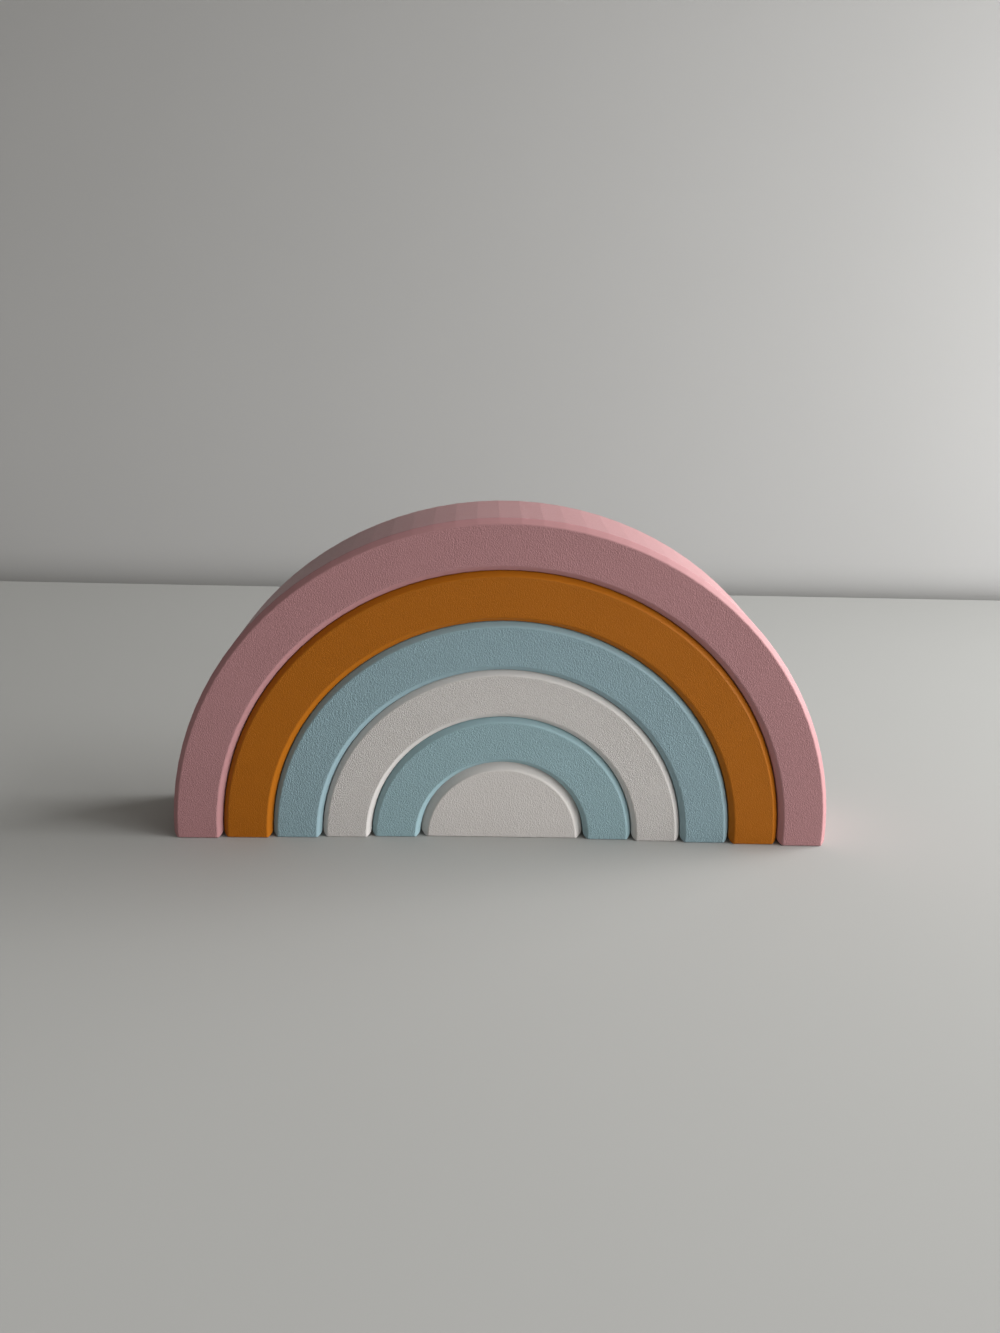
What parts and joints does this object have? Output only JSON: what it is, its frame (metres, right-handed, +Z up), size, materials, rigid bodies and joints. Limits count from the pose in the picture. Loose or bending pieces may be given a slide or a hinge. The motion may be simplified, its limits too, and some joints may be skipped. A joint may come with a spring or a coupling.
{
  "type": "rainbow stacker",
  "caption": "Nesting rainbow toy: loose half-ring arches in soft colours stand one inside the next over a solid half-round core, with chamfered curved edges and flat feet.",
  "frame": {"origin": "on the table at the centre that all the arcs share, half way from front to back", "axes": "+X across the rainbow to the viewer's right, +Y from the front face to the back face, +Z up"},
  "size_m": [0.2, 0.033, 0.1],
  "materials": {
    "cream_core": "printed matte plastic, off-white, with a fine stippled front face",
    "small_blue": "printed matte plastic, pale greenish blue, with a fine stippled front face",
    "cream": "printed matte plastic, off-white, with a fine stippled front face",
    "large_blue": "printed matte plastic, pale grey blue, with a fine stippled front face",
    "mustard": "printed matte plastic, brownish orange, with a fine stippled front face",
    "pink": "printed matte plastic, dusty pink, with a fine stippled front face"
  },
  "bodies": {
    "core": {"cream_core": "cream_core"},
    "small_blue": {"small_blue_arch": "small_blue"},
    "cream": {"cream_arch": "cream"},
    "large_blue": {"large_blue_arch": "large_blue"},
    "mustard": {"mustard_arch": "mustard"},
    "pink": {"pink_arch": "pink"}
  },
  "joints": [
    {"name": "small_blue_lift", "type": "slide", "parent": "core", "child": "small_blue", "axis": [0, 0, 1], "range_m": [0, 0.03]},
    {"name": "cream_lift", "type": "slide", "parent": "small_blue", "child": "cream", "axis": [0, 0, 1], "range_m": [0, 0.045]},
    {"name": "large_blue_lift", "type": "slide", "parent": "cream", "child": "large_blue", "axis": [0, 0, 1], "range_m": [0, 0.06]},
    {"name": "mustard_lift", "type": "slide", "parent": "large_blue", "child": "mustard", "axis": [0, 0, 1], "range_m": [0, 0.075]},
    {"name": "pink_lift", "type": "slide", "parent": "mustard", "child": "pink", "axis": [0, 0, 1], "range_m": [0, 0.09]}
  ]
}
